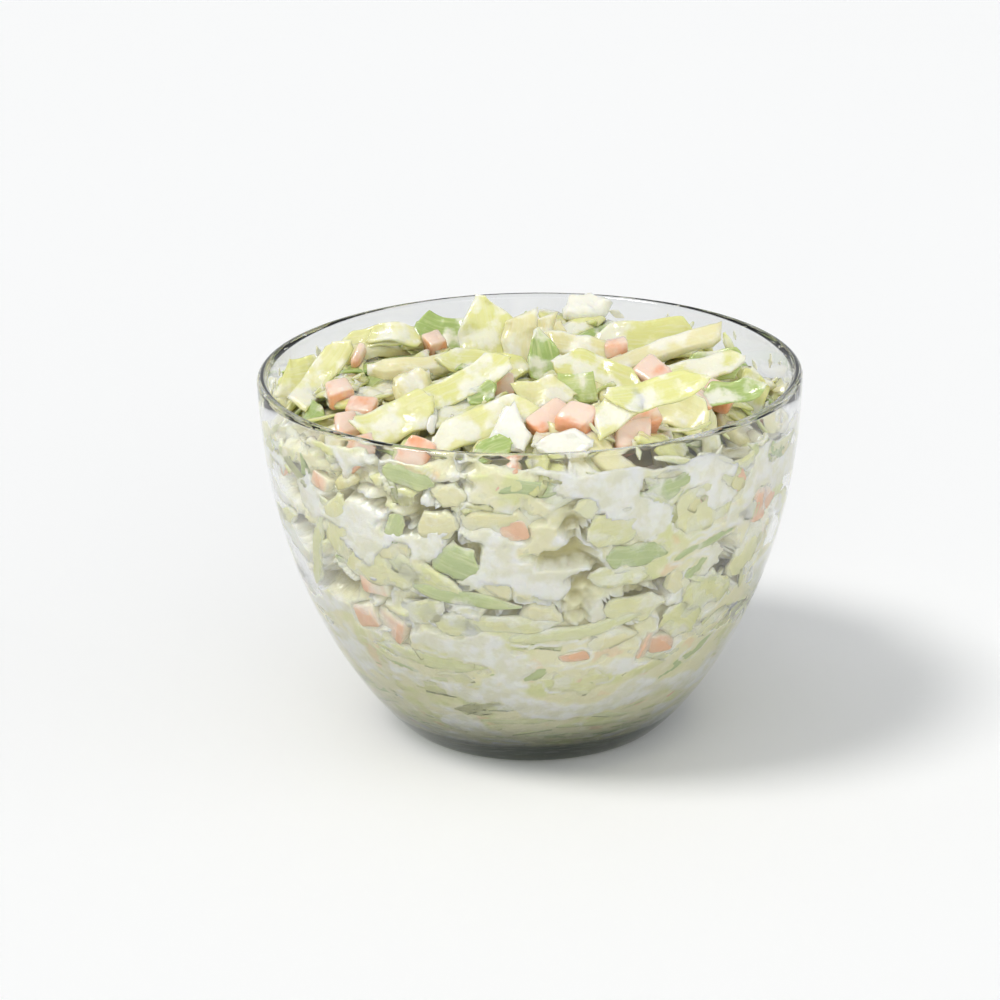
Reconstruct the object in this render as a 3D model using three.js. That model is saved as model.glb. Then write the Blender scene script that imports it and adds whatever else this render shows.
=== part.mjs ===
// Coleslaw in a clear glass bowl, as two solids: the pressed-glass bowl and the salad heaped in it.
// Millimetres, +Z up. The origin is the middle of the bowl's foot, on the table, and -Y is the front.
import * as THREE from "three";
import { mergeVertices } from "three/addons/utils/BufferGeometryUtils.js";

// Driving dimensions of the bowl.
const RIM_RADIUS = 60;
const BOWL_HEIGHT = 82;
const RIM_WALL = 2.4; // the rim is a bead as thick as the wall
const FOOT_RADIUS = 29;
const FOOT_ROUNDING = 1.4;
const FOOT_SHARE = 0.06; // share of the outer wall's curve taken by the foot's rounded corner
const BASE_THICKNESS = 7;
const FLOOR_RADIUS = 14; // flat middle of the bowl's inside
const RECESS_RADIUS = 21; // shallow hollow pressed into the underside
const RECESS_DEPTH = 0.8;
const RECESS_SLOPE = 3;

// Handles of the walls' curves: how they leave the foot and the floor, and how far down they stay upright.
const OUTER_START = { out: 6, up: 4 };
const INNER_START = { out: 22, up: 0.2 };
const OUTER_UPRIGHT = 31.5;
const INNER_UPRIGHT = 30;
const UPRIGHT_LEAN = 0.7;

// Driving dimensions of the heap.
const WALL_GAP = 0.4; // between the salad and the glass
const HEAP_CROWN = 86; // height of the heap's middle above the table
const HEAP_DOMING = 2.5; // fall of the heap from its middle to where its shoulder starts
const HEAP_EDGE = 75; // height of the salad where it meets the glass, on average
const EDGE_FRONT_RISE = 2.5; // the salad stands higher against the front and left of the bowl
const EDGE_LEFT_RISE = 1;
const EDGE_RIPPLES = [
  { lobes: 3, height: 0.7, turn: 1 },
  { lobes: 7, height: 0.5, turn: 0 },
];
const SHOULDER_END = 0.92; // share of the radius where the heap has fallen to its edge
const SHOULDER_WIDTH = 0.24;
const SHOULDER_FRONT_SHIFT = 0.05; // the shoulder lies closer to the glass at the front
const LUMPS = 34; // rounded humps of cabbage and carrot that make the outline uneven
const LUMP_HEIGHT = [1.0, 2.6];
const LUMP_RADIUS = [3.5, 6.5];
const LUMP_REACH = 0.78; // share of the bowl's radius within which they lie

// One leaf stands up out of the heap near its middle. Its crest is the share of its reach at full height.
const LEAF = { x: -10, y: 9, heading: 12, halfLength: 8, halfWidth: 5.5, crest: 0.35, top: 96 };

// Fineness of the faceted surfaces.
const SEGMENTS = 72;
const WALL_STEPS = 14;
const BEAD_STEPS = 6;
const HEAP_WALL_STEPS = 9;
const HEAP_RINGS = 20;

const outerWall = new THREE.CubicBezierCurve(
  new THREE.Vector2(FOOT_RADIUS, 0),
  new THREE.Vector2(FOOT_RADIUS + OUTER_START.out, OUTER_START.up),
  new THREE.Vector2(RIM_RADIUS - UPRIGHT_LEAN, OUTER_UPRIGHT),
  new THREE.Vector2(RIM_RADIUS, BOWL_HEIGHT - RIM_WALL / 2),
);

const innerWall = new THREE.CubicBezierCurve(
  new THREE.Vector2(FLOOR_RADIUS, BASE_THICKNESS),
  new THREE.Vector2(FLOOR_RADIUS + INNER_START.out, BASE_THICKNESS + INNER_START.up),
  new THREE.Vector2(RIM_RADIUS - RIM_WALL - UPRIGHT_LEAN, INNER_UPRIGHT),
  new THREE.Vector2(RIM_RADIUS - RIM_WALL, BOWL_HEIGHT - RIM_WALL / 2),
);

// The bowl's outline: from the axis under the foot, up the outside, over the rim and down to the axis inside.
function bowlOutline() {
  const footCorner = new THREE.QuadraticBezierCurve(
    new THREE.Vector2(FOOT_RADIUS - FOOT_ROUNDING, 0),
    new THREE.Vector2(FOOT_RADIUS, 0),
    outerWall.getPoint(FOOT_SHARE),
  );
  const bead = new THREE.EllipseCurve(
    RIM_RADIUS - RIM_WALL / 2,
    BOWL_HEIGHT - RIM_WALL / 2,
    RIM_WALL / 2,
    RIM_WALL / 2,
    0,
    Math.PI,
  );
  const outline = [
    new THREE.Vector2(0, RECESS_DEPTH),
    new THREE.Vector2(RECESS_RADIUS - RECESS_SLOPE, RECESS_DEPTH),
    new THREE.Vector2(RECESS_RADIUS, 0),
    ...footCorner.getPoints(2),
  ];
  for (let i = 1; i < WALL_STEPS; i++) {
    outline.push(outerWall.getPoint(THREE.MathUtils.lerp(FOOT_SHARE, 1, i / WALL_STEPS)));
  }
  outline.push(...bead.getPoints(BEAD_STEPS));
  for (let i = WALL_STEPS - 1; i >= 0; i--) {
    outline.push(innerWall.getPoint(i / WALL_STEPS));
  }
  outline.push(new THREE.Vector2(0, BASE_THICKNESS));
  return outline;
}

// A lathe has a seam and points doubled on the axis: merging by position closes it.
function closed(geometry) {
  geometry.deleteAttribute("normal");
  geometry.deleteAttribute("uv");
  return mergeVertices(geometry, 1e-4);
}

function bowl() {
  const geometry = closed(new THREE.LatheGeometry(bowlOutline(), SEGMENTS));
  geometry.rotateX(Math.PI / 2); // the lathe turns about Y
  return geometry;
}

// A point of the salad's outside against the glass: share 0 is low by the floor, 1 is at the rim.
function saladWallPoint(share) {
  const point = innerWall.getPoint(share);
  const along = innerWall.getTangent(share);
  return point.add(new THREE.Vector2(-along.y, along.x).multiplyScalar(WALL_GAP));
}

// The share of the inner wall's curve at a height, by halving.
function shareAtHeight(height) {
  let [low, high] = [0, 1];
  while (high - low > 1e-6) {
    const middle = (low + high) / 2;
    if (saladWallPoint(middle).y < height) low = middle;
    else high = middle;
  }
  return low;
}

function edgeHeight(angle) {
  let height = HEAP_EDGE - EDGE_FRONT_RISE * Math.sin(angle) - EDGE_LEFT_RISE * Math.cos(angle);
  for (const ripple of EDGE_RIPPLES) {
    height += ripple.height * Math.sin(ripple.lobes * angle + ripple.turn);
  }
  return height;
}

// Numbers from 0 to 1 that look random and are the same on each run.
function seededRandom(seed) {
  let state = seed;
  return () => {
    state = (state * 1664525 + 1013904223) % 4294967296;
    return state / 4294967296;
  };
}

function scatteredLumps() {
  const random = seededRandom(7);
  const between = ([low, high]) => low + (high - low) * random();
  return Array.from({ length: LUMPS }, () => {
    const angle = 2 * Math.PI * random();
    const radius = RIM_RADIUS * LUMP_REACH * Math.sqrt(random());
    return {
      x: radius * Math.cos(angle),
      y: radius * Math.sin(angle),
      height: between(LUMP_HEIGHT),
      spread: between(LUMP_RADIUS),
    };
  });
}

const lumps = scatteredLumps();

function heapHeight(x, y, share, edge) {
  const end = SHOULDER_END - SHOULDER_FRONT_SHIFT * Math.sin(Math.atan2(y, x));
  const start = end - SHOULDER_WIDTH;
  const fall = THREE.MathUtils.smoothstep(share, start, end);
  const dome = HEAP_CROWN - HEAP_DOMING * Math.min(1, share / start) ** 2;
  let height = THREE.MathUtils.lerp(dome, edge, fall);
  for (const lump of lumps) {
    const distance = Math.hypot(x - lump.x, y - lump.y) / lump.spread;
    height += (1 - fall) * lump.height * Math.exp(-distance * distance);
  }
  return Math.max(height, leafHeight(x, y, height));
}

// The standing leaf as a steep ridge that rises from the heap.
function leafHeight(x, y, ground) {
  const heading = THREE.MathUtils.degToRad(LEAF.heading);
  const along = (x - LEAF.x) * Math.cos(heading) + (y - LEAF.y) * Math.sin(heading);
  const across = (y - LEAF.y) * Math.cos(heading) - (x - LEAF.x) * Math.sin(heading);
  const reach = Math.hypot(along / LEAF.halfLength, across / LEAF.halfWidth);
  return THREE.MathUtils.lerp(LEAF.top, ground, THREE.MathUtils.smoothstep(reach, LEAF.crest, 1));
}

function heap() {
  const index = [];
  const floorCentre = 0;
  const positions = [0, 0, BASE_THICKNESS + WALL_GAP];
  for (let s = 0; s < SEGMENTS; s++) {
    const angle = (2 * Math.PI * s) / SEGMENTS;
    const edge = edgeHeight(angle);
    const edgeShare = shareAtHeight(edge);
    for (let k = 0; k <= HEAP_WALL_STEPS; k++) {
      const point = saladWallPoint((edgeShare * k) / HEAP_WALL_STEPS);
      positions.push(point.x * Math.cos(angle), point.x * Math.sin(angle), point.y);
    }
    const edgeRadius = saladWallPoint(edgeShare).x;
    for (let k = HEAP_RINGS - 1; k >= 1; k--) {
      const share = k / HEAP_RINGS;
      const x = share * edgeRadius * Math.cos(angle);
      const y = share * edgeRadius * Math.sin(angle);
      positions.push(x, y, heapHeight(x, y, share, edge));
    }
  }
  const crown = positions.length / 3;
  positions.push(0, 0, heapHeight(0, 0, 0, HEAP_EDGE));

  const perSegment = HEAP_WALL_STEPS + HEAP_RINGS;
  const at = (s, k) => 1 + (s % SEGMENTS) * perSegment + k;
  for (let s = 0; s < SEGMENTS; s++) {
    index.push(floorCentre, at(s + 1, 0), at(s, 0));
    for (let k = 0; k < perSegment - 1; k++) {
      index.push(at(s, k), at(s + 1, k), at(s + 1, k + 1));
      index.push(at(s, k), at(s + 1, k + 1), at(s, k + 1));
    }
    index.push(at(s, perSegment - 1), at(s + 1, perSegment - 1), crown);
  }
  const geometry = new THREE.BufferGeometry();
  geometry.setAttribute("position", new THREE.Float32BufferAttribute(positions, 3));
  geometry.setIndex(index);
  geometry.computeVertexNormals();
  return geometry;
}

const glass = new THREE.MeshStandardMaterial({
  color: 0xdfe6e4,
  roughness: 0.03,
  metalness: 0,
  transparent: true,
  opacity: 0.35,
});
const dressedCabbage = new THREE.MeshStandardMaterial({
  color: 0xebe9cf,
  roughness: 0.35,
  metalness: 0,
});

function named(name, geometry, material) {
  const mesh = new THREE.Mesh(geometry, material);
  mesh.name = name;
  return mesh;
}

const bowlOfColeslaw = new THREE.Group();
bowlOfColeslaw.add(named("bowl", bowl(), glass));
bowlOfColeslaw.add(named("coleslaw", heap(), dressedCabbage));

export default bowlOfColeslaw;
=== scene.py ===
"""Coleslaw heaped in a clear glass bowl: the glass, and the salad piece by piece.

Metres, +Z up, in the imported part's frame: the origin is the middle of the bowl's foot on the
table, and -Y is the front. The salad is a core of dressed mush, with cabbage, carrot and dressing
laid against the glass and heaped on top, each kind joined in one mesh.
"""
import copy
import itertools
import math

import bpy
import numpy as np
from mathutils import Euler, Matrix, Vector, noise


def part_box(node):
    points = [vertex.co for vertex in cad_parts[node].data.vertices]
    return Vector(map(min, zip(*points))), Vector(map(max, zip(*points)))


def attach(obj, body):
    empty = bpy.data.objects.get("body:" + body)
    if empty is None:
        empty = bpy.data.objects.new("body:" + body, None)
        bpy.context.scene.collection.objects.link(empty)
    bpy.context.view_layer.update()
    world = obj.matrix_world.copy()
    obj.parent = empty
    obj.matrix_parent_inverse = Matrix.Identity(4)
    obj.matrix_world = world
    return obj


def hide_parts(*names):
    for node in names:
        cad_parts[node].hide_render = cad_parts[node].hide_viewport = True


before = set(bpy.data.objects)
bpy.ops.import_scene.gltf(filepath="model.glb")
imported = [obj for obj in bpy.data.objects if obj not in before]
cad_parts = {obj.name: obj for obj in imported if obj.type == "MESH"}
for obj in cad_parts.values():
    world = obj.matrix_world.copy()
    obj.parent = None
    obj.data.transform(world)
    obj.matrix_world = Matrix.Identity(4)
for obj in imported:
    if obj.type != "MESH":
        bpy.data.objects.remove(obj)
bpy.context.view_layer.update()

MM = 0.001

# The bowl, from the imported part's box.
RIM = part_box("bowl")[1].x
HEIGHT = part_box("bowl")[1].z
WALL = 2.4 * MM
BEAD = WALL / 2
FOOT = 29 * MM
FOOT_ROUNDING = 1.4 * MM
RECESS = 21 * MM
RECESS_SLOPE = 3 * MM
RECESS_DEPTH = 0.8 * MM
FOOT_SHARE = 0.06  # share of the outer wall's curve taken by the foot's rounded corner
CAD_GAP = 0.4 * MM  # what the CAD solids keep between the salad and the glass
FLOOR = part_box("coleslaw")[0].z - CAD_GAP

# Control points of the walls' curves.
LEAN = 0.7 * MM
OUTER_CURVE = [(FOOT, 0), (FOOT + 6 * MM, 4 * MM), (RIM - LEAN, 31.5 * MM), (RIM, HEIGHT - BEAD)]
INSIDE = RIM - WALL
INNER_CURVE = [
    (14 * MM, FLOOR), (36 * MM, FLOOR + 0.2 * MM), (INSIDE - LEAN, 30 * MM), (INSIDE, HEIGHT - BEAD)
]

# The heap: the same outline as the CAD solid's.
HEAP_CROWN = HEIGHT + 4 * MM
HEAP_DOMING = 2.5 * MM
HEAP_EDGE = HEIGHT - 7 * MM
EDGE_FRONT_RISE = 2.5 * MM
EDGE_LEFT_RISE = 1 * MM
SHOULDER_END = 0.92
SHOULDER_WIDTH = 0.24
SHOULDER_FRONT_SHIFT = 0.05

# Fineness of the bowl's outline, and of the reliefs that pieces are laid on.
CORNER_STEPS = 6
WALL_STEPS = 40
BEAD_STEPS = 20
BOWL_SEGMENTS = 256
FLOOR_STEPS = 20
INSIDE_STEPS = 300
CELL = 0.6 * MM

INTO_GLASS = 0.12 * MM  # how far thick dressing reaches into the glass, in front of the pieces
TOUCH = 0.05 * MM  # how far the pieces that touch the glass reach into it
TOP_LAYER = 9 * MM  # depth of the loose pieces on top
FEATURED_LAYER = 2 * MM  # what the random pieces leave for the featured ones
WALL_LAYER = 4.5 * MM  # depth of the pieces against the glass
LINING_START = 11 * MM  # run from the floor's middle where they start


# ---- curves and shapes


def bezier(controls, shares):
    """Points of the Bezier curve with these control points, one for each share of its run."""
    points = np.asarray(controls, float)[:, None, :]
    shares = np.asarray(shares, float)[:, None]
    while len(points) > 1:
        points = points[:-1] * (1 - shares) + points[1:] * shares
    return points[0]


def smoothstep(value, low, high):
    share = np.clip((value - low) / (high - low), 0, 1)
    return share * share * (3 - 2 * share)


def waves(rng, run, count=3):
    """A slow random waver along run, about -1 to 1."""
    total = 0
    for turn in range(1, count + 1):
        total = total + np.sin(2 * np.pi * (turn * run * 0.8 + rng.random())) / turn
    return total / 1.5


def fractal(points, size, seed, octaves=4):
    """Noise of about -1 to 1 at each point, its largest lumps about size across."""
    shift = Vector((seed * 17.3, seed * 5.1, seed * 9.7))
    return np.array([noise.fractal(Vector(p) / size + shift, 1.0, 2.0, octaves) for p in points])


def bowl_outline():
    """From the axis under the foot, up the outside, over the rim and down to the axis inside."""
    corner_end = bezier(OUTER_CURVE, [FOOT_SHARE])[0]
    corner = bezier([(FOOT - FOOT_ROUNDING, 0), (FOOT, 0), corner_end], np.linspace(0, 1, CORNER_STEPS))
    outside = bezier(OUTER_CURVE, np.linspace(FOOT_SHARE, 1, WALL_STEPS)[1:-1])
    turn = np.linspace(0, np.pi, BEAD_STEPS)
    bead = np.stack([RIM - BEAD + BEAD * np.cos(turn), HEIGHT - BEAD + BEAD * np.sin(turn)], 1)
    inside = bezier(INNER_CURVE, np.linspace(1, 0, WALL_STEPS)[1:])
    recess = [(0, RECESS_DEPTH), (RECESS - RECESS_SLOPE, RECESS_DEPTH), (RECESS, 0)]
    return np.vstack([recess, corner, outside, bead, inside, [(0, FLOOR)]])


def faces_round(segments, rows):
    """Faces that join columns of points round Z, and the two points on the axis that follow."""
    start = segments * rows
    faces = []
    for s in range(segments):
        here, there = s * rows, (s + 1) % segments * rows
        faces.append((start, there, here))
        for k in range(rows - 1):
            faces.append((here + k, there + k, there + k + 1, here + k + 1))
        faces.append((start + 1, here + rows - 1, there + rows - 1))
    return faces


def lathe(outline, segments):
    """Vertices and faces of an outline turned about Z. It starts and ends on the axis."""
    angles = np.linspace(0, 2 * np.pi, segments, endpoint=False)
    ring = outline[1:-1]
    x, y = np.outer(np.cos(angles), ring[:, 0]), np.outer(np.sin(angles), ring[:, 0])
    round_points = np.stack([x, y, np.tile(ring[:, 1], (segments, 1))], -1).reshape(-1, 3)
    points = np.vstack([round_points, (0, 0, outline[0][1]), (0, 0, outline[-1][1])])
    return points, faces_round(segments, len(ring))


# ---- places on the glass and the heap


def wall_table():
    """The inside of the glass from the middle of the floor to the rim: place, way in, run."""
    floor = np.linspace(0, INNER_CURVE[0][0], FLOOR_STEPS, endpoint=False)
    floor = np.stack([floor, np.full(FLOOR_STEPS, FLOOR)], 1)
    line = np.vstack([floor, bezier(INNER_CURVE, np.linspace(0, 1, INSIDE_STEPS))])
    run = np.concatenate([[0], np.cumsum(np.linalg.norm(np.diff(line, axis=0), axis=1))])
    along = np.gradient(line, run, axis=0)
    along /= np.linalg.norm(along, axis=1)[:, None]
    inward = np.stack([-along[:, 1], along[:, 0]], 1)
    return line, inward, run


WALL_LINE, WALL_INWARD, WALL_RUN = wall_table()


def on_wall(angle, run, depth):
    """The point at an angle round the bowl, a run up from the floor's middle, and a depth inward."""
    radius, height = (
        np.interp(run, WALL_RUN, WALL_LINE[:, k]) + depth * np.interp(run, WALL_RUN, WALL_INWARD[:, k])
        for k in (0, 1)
    )
    return np.stack([radius * np.cos(angle), radius * np.sin(angle), height], -1)


def inner_radius(height):
    return np.interp(height, WALL_LINE[FLOOR_STEPS:, 1], WALL_LINE[FLOOR_STEPS:, 0])


def run_at(height):
    """The run up the inside of the glass at which it is this high."""
    return np.interp(height, WALL_LINE[FLOOR_STEPS:, 1], WALL_RUN[FLOOR_STEPS:])


def edge_height(angle):
    """Height at which the salad meets the glass."""
    ripple = 0.7 * MM * np.sin(3 * angle + 1) + 0.5 * MM * np.sin(7 * angle)
    lean = EDGE_FRONT_RISE * np.sin(angle) + EDGE_LEFT_RISE * np.cos(angle)
    return HEAP_EDGE - lean + ripple


def heap_height(x, y):
    """Height of the heap's smooth outline."""
    angle = np.arctan2(y, x)
    share = np.hypot(x, y) / (RIM - WALL)
    end = SHOULDER_END - SHOULDER_FRONT_SHIFT * np.sin(angle)
    start = end - SHOULDER_WIDTH
    fall = smoothstep(share, start, end)
    dome = HEAP_CROWN - HEAP_DOMING * np.minimum(1, share / start) ** 2
    return dome + (edge_height(angle) - dome) * fall


# ---- pieces of cabbage and carrot


def tube_faces(rings, around):
    """Faces of a closed flattened tube: its skin, and a strip across each cut end."""
    faces = []
    for i in range(rings - 1):
        for k in range(around):
            n = (k + 1) % around
            here, there = i * around, (i + 1) * around
            faces.append((here + k, here + n, there + n, there + k))
    last = (rings - 1) * around
    for k in range(around // 2 - 1):
        a, b, c, d = k, k + 1, around - 2 - k, around - 1 - k
        faces.append((d, c, b, a))
        faces.append((last + a, last + b, last + c, last + d))
    return np.array(faces)


FACE_SETS = {}
TIP = 0.1  # least share of its width that an end keeps, before it is rounded
TAPER_POWER = 0.75  # below 1, so that narrowing ends are full
EDGE_POWER = 4  # of the rounding over the edges: high for flat faces
RUFFLES = 2.2  # along each edge
DENT_SIZE = 7 * MM  # from one dent in a leaf's face to the next
DENT_DEPTH = 0.28 * MM
WANDER = 0.03  # share of the length by which a piece wanders sideways
SLANT = 0.8  # most that an end is cut askew
CROWDING = 0.85  # below 1, so that points gather towards the edges
CURL_WAVER, SKIN_WAVER, BEND_WAVER = 0.35, 0.15, 0.25  # how uneven its curl, skin and bend are


def section(across):
    """Points round a slab's cross section: how far left and how far up each is, from -1 to 1."""
    turn = 2 * np.pi * (np.arange(2 * across) + 0.5) / (2 * across)
    v = np.sign(np.cos(turn)) * np.abs(np.cos(turn)) ** CROWDING
    h = np.sign(np.sin(turn)) * (1 - np.abs(v) ** EDGE_POWER) ** (1 / EDGE_POWER)
    return v, h


def half_widths(rng, run, v, width, ends, uneven):
    """Half the width along the run, on each point's own side. It narrows towards the ends."""
    inner = np.clip(run, run[1], run[-2])
    narrowing = np.minimum(inner / ends[0], 1) * np.minimum((1 - inner) / ends[1], 1)
    narrowing = np.maximum(narrowing, TIP) ** TAPER_POWER
    left = narrowing * (1 + uneven * waves(rng, run))
    right = narrowing * (1 + uneven * waves(rng, run))
    return width / 2 * np.where(v > 0, left[:, None], right[:, None])


def leaf(rng, run, v, half, length, width, curl, ruffle):
    """The y and z of a leaf's middle surface, curled, ruffled and dented, and how it leans."""
    cup = curl / 2 * (1 + CURL_WAVER * waves(rng, run))[:, None] * np.ones_like(v)
    cup = np.where(np.abs(cup) < 1e-3, 1e-3, cup)
    lean = cup * v
    waver = RUFFLES * run[:, None] + rng.random() + 0.3 * np.sign(v)
    z = half / cup * (1 - np.cos(lean)) + ruffle * v**2 * np.sin(2 * np.pi * waver)
    dents = np.sin(2 * np.pi * (run[:, None] * length / DENT_SIZE + rng.random()) + 1.5 * v)
    z += DENT_DEPTH * np.minimum(1, width / DENT_SIZE) * dents * np.cos(2 * v + rng.uniform(0, 6))
    return half / cup * np.sin(lean), z, lean


def along_line(rng, run, length, bend, y, z):
    """The points of cross sections set along a line that bends up, with ends cut askew."""
    heading = bend * (run - 0.5) + BEND_WAVER * bend * waves(rng, run)
    step = np.diff(run, prepend=run[0]) * length
    line_x, line_z = np.cumsum(np.cos(heading) * step), np.cumsum(np.sin(heading) * step)
    line_x -= line_x.mean()
    line_z -= line_z.mean()
    slant = rng.uniform(-SLANT, SLANT) * np.clip(1 - 4 * run, 0, 1)
    slant += rng.uniform(-SLANT, SLANT) * np.clip(4 * run - 3, 0, 1)
    forward = slant[:, None] * y
    cos, sin = np.cos(heading)[:, None], np.sin(heading)[:, None]
    x, z = line_x[:, None] + forward * cos - z * sin, line_z[:, None] + forward * sin + z * cos
    return np.stack([x, y, z], -1).reshape(-1, 3)


def slab(rng, length, width, thickness, bend, curl, twist, ends, ruffle, uneven, along, across):
    """One cut piece along X, with its middle at the origin: a closed slab with rounded edges.

    bend turns it along its length and curl across its width, in radians. ends are the shares of
    the length over which it narrows: a small one leaves a square cut.
    """
    inset = min(0.45 * thickness / length, 0.08)
    run = np.concatenate([[0], np.linspace(inset, 1 - inset, along), [1]])
    v, h = section(across)
    half = half_widths(rng, run, v, width, ends, uneven)
    y, z, lean = leaf(rng, run, v, half, length, width, curl, ruffle)
    skin = thickness / 2 * np.where((run == 0) | (run == 1), 0.5, 1)[:, None] * h
    skin = skin * (1 + SKIN_WAVER * waves(rng, run))[:, None]
    y, z = y - skin * np.sin(lean), z + skin * np.cos(lean)
    angle = twist * (run - 0.5)[:, None]
    y, z = y * np.cos(angle) - z * np.sin(angle), y * np.sin(angle) + z * np.cos(angle)
    y += WANDER * length * waves(rng, run, 2)[:, None]
    points = along_line(rng, run, length, bend, y, z)
    key = (len(run), len(v))
    if key not in FACE_SETS:
        FACE_SETS[key] = tube_faces(*key)
    lengthwise, own = np.repeat(run * length, len(v)), np.full(len(points), rng.random())
    return {
        "points": points,
        "faces": FACE_SETS[key],
        "under": np.tile(h < -0.5, len(run)),
        "grain": np.c_[lengthwise, (half * v).ravel(), own],
    }


def lattice_cube(steps):
    """The points and faces of a cube's skin, from -1 to 1, on a lattice with these steps."""
    last = len(steps) - 1
    number = {}
    faces = []
    for axis, side, i, j in itertools.product(range(3), (0, last), range(last), range(last)):
        square = ((i, j), (i + 1, j), (i + 1, j + 1), (i, j + 1))
        places = [tuple(np.roll((side, *corner), axis).tolist()) for corner in square]
        corners = [number.setdefault(place, len(number)) for place in places]
        faces.append(corners if side else corners[::-1])
    points = np.array([[steps[c] for c in place] for place in number])
    return points, np.array(faces)


CUBE_POINTS, CUBE_FACES = lattice_cube([-1, -0.9, -0.66, 0, 0.66, 0.9, 1])
DIE_SKEW = 0.2  # most that a die is out of square
DIE_BULGE = 0.08  # share of its size by which its faces waver


def die(rng, size, rounding):
    """A carrot die: a block with soft edges, its sides a little out of square."""
    half = np.array(size) / 2
    outer = CUBE_POINTS * half
    inner = np.clip(outer, -(half - rounding), half - rounding)
    out = outer - inner
    points = inner + rounding * out / np.maximum(np.linalg.norm(out, axis=1), 1e-9)[:, None]
    shear = np.eye(3) + rng.uniform(-DIE_SKEW, DIE_SKEW, (3, 3))
    points = points @ shear.T
    across = points[:, [1, 2, 0]] / half
    points *= 1 + DIE_BULGE * np.sin(1.7 * across + rng.uniform(0, 6, 3))
    return {
        "points": points,
        "faces": CUBE_FACES,
        "under": CUBE_POINTS[:, 2] < -0.95,
        "grain": np.c_[points[:, :2], np.full(len(points), rng.random())],
    }


def turned(points, turn, tilt=0.0, roll=0.0):
    """Points turned about Z, then tilted about X so that a piece faces the front, in degrees."""
    matrix = Euler([math.radians(a) for a in (0, 0, turn)]).to_matrix()
    matrix = Euler([math.radians(a) for a in (tilt, roll, 0)]).to_matrix() @ matrix
    return points @ np.array(matrix).T


# ---- laying pieces on each other


class Relief:
    """Heights on a grid of square cells, which rise as pieces are laid on them."""

    def __init__(self, low, high, wraps):
        self.low = np.array(low)
        self.wraps = wraps
        self.shape = tuple(np.ceil((np.array(high) - low) / CELL).astype(int))
        self.height = np.zeros(self.shape)

    def centres(self):
        x, y = (low + (np.arange(n) + 0.5) * CELL for low, n in zip(self.low, self.shape))
        return np.meshgrid(x, y, indexing="ij")

    def index(self, x, y):
        i, j = (np.floor((at - low) / CELL).astype(int) for at, low in zip((x, y), self.low))
        i = i % self.shape[0] if self.wraps else np.clip(i, 0, self.shape[0] - 1)
        return i, np.clip(j, 0, self.shape[1] - 1)

    def sample(self, x, y):
        return self.height[self.index(x, y)]

    def raise_to(self, x, y, height):
        np.maximum.at(self.height, self.index(x, y), height)

    def close_pits(self):
        """Fills pits up to two cells wide."""
        for pick in (np.maximum, np.minimum):
            for axis in (0, 1):
                here = self.height
                beside = pick(np.roll(here, 1, axis), np.roll(here, -1, axis))
                self.height = pick(here, beside)


STEEPEST = 0.8  # slope of the surface that a piece lies on
MOST_BENT = 12  # and its curvature, for each metre


def bed(relief, place, length, width):
    """A smooth surface through what lies under a piece: its coefficients for 1, p, q, pp, pq, qq."""
    p, q = np.meshgrid(np.linspace(-0.5, 0.5, 9) * length, np.linspace(-0.5, 0.5, 5) * width)
    p, q = p.ravel(), q.ravel()
    terms = np.stack([np.ones_like(p), p, q, p * p, p * q, q * q], 1)
    found = np.linalg.lstsq(terms, relief.sample(*place(p, q)), rcond=None)[0]
    found[1:3] = np.clip(found[1:3], -STEEPEST, STEEPEST)
    found[3:] = np.clip(found[3:], -MOST_BENT, MOST_BENT)
    return found


def settle(rng, piece, relief, place, drape, lean, sink):
    """Lays a piece on the relief and gives back its points: it bends with what lies under it by
    the share drape, leans by a random slope of about lean, and sinks in until the share sink of
    its underside is covered."""
    length, width = np.ptp(piece["points"][:, 0]), np.ptp(piece["points"][:, 1])
    found = bed(relief, place, length, width)
    slope_p, slope_q = found[1:3] + rng.normal(0, lean, 2)
    tilt = Euler((math.atan(slope_q), -math.atan(slope_p), 0)).to_matrix()
    laid = piece["points"] @ np.array(tilt).T
    p, q = laid[:, 0], laid[:, 1]
    laid[:, 2] += drape * (found[3] * p * p + found[4] * p * q + found[5] * q * q)
    gap = (laid[:, 2] - relief.sample(*place(p, q)))[piece["under"]]
    laid[:, 2] -= np.quantile(gap, sink)
    return laid


def mark(relief, faces, place, laid):
    """Raises the relief to the piece's upper side, with points between its own to leave no holes."""
    for weights in ((1, 0, 0, 0), (0.25,) * 4, (0.7, 0.1, 0.1, 0.1), (0.1, 0.1, 0.7, 0.1)):
        p, q, h = sum(w * laid[faces[:, k]] for k, w in enumerate(weights)).T
        relief.raise_to(*place(p, q), h)


class Kind:
    """All pieces of one kind, to be joined in one mesh."""

    def __init__(self):
        self.points = []
        self.faces = []
        self.values = {"tone": [], "film": [], "grain": []}
        self.count = 0

    def add(self, piece, points, tone, film):
        self.points.append(points)
        self.faces.append(piece["faces"] + self.count)
        self.values["tone"].append(np.full(len(points), tone))
        self.values["film"].append(np.broadcast_to(film, len(points)))
        self.values["grain"].append(piece["grain"])
        self.count += len(points)


KINDS = {name: Kind() for name in ("pale", "green", "rib", "shred", "carrot", "dressing")}


def inside_glass(points):
    """Points held inside the bowl, so that what leans on the glass lies flat against it."""
    radius = np.hypot(points[:, 0], points[:, 1])
    most = inner_radius(points[:, 2]) + TOUCH
    share = np.where(points[:, 2] < HEIGHT, np.minimum(1, most / np.maximum(radius, 1e-9)), 1)
    return points * np.c_[share, share, np.ones(len(share))]


# ---- random pieces


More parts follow.
